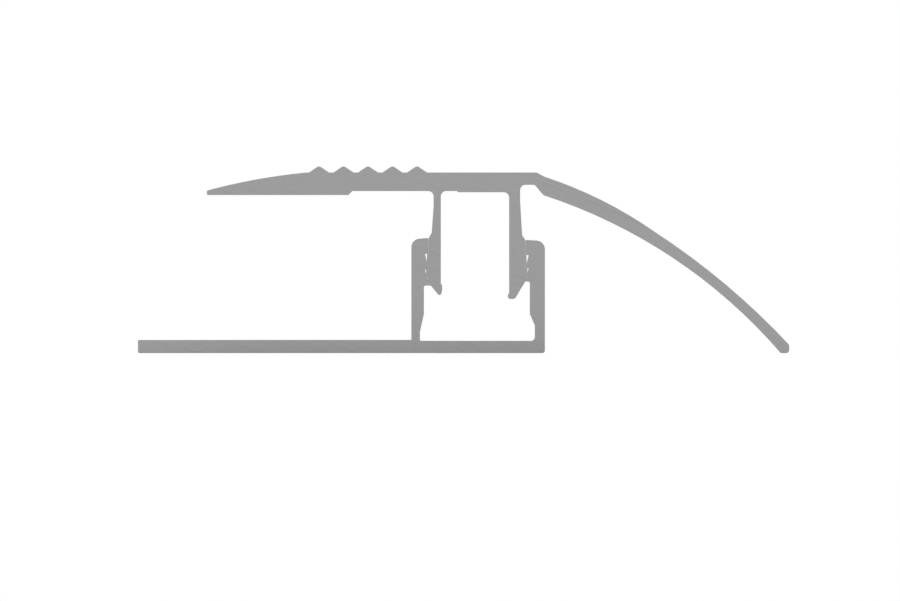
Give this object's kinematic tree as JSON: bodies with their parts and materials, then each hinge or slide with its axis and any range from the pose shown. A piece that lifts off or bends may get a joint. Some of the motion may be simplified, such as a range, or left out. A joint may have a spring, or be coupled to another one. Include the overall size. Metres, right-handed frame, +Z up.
{
  "type": "floor ramp trim",
  "caption": "Two-piece aluminium floor trim: a screw-down base rail with toothed clip walls, and a snap-in cover with a ribbed lip for a raised floor and a curved ramp down to a lower one.",
  "frame": {"origin": "bottom centre of the bounding box, on the floor that the rail and the tip of the ramp stand on", "axes": "+Y along the trim, +X across it from the flange to the ramp, +Z up"},
  "size_m": [0.0492, 0.9, 0.0141],
  "materials": {
    "rail_aluminium": "mill finish, satin, with fine extrusion lines",
    "cover_aluminium": "anodised, satin, with fine extrusion lines"
  },
  "bodies": {
    "root": {"base_rail": "rail_aluminium", "cover_profile": "cover_aluminium"}
  },
  "joints": []
}
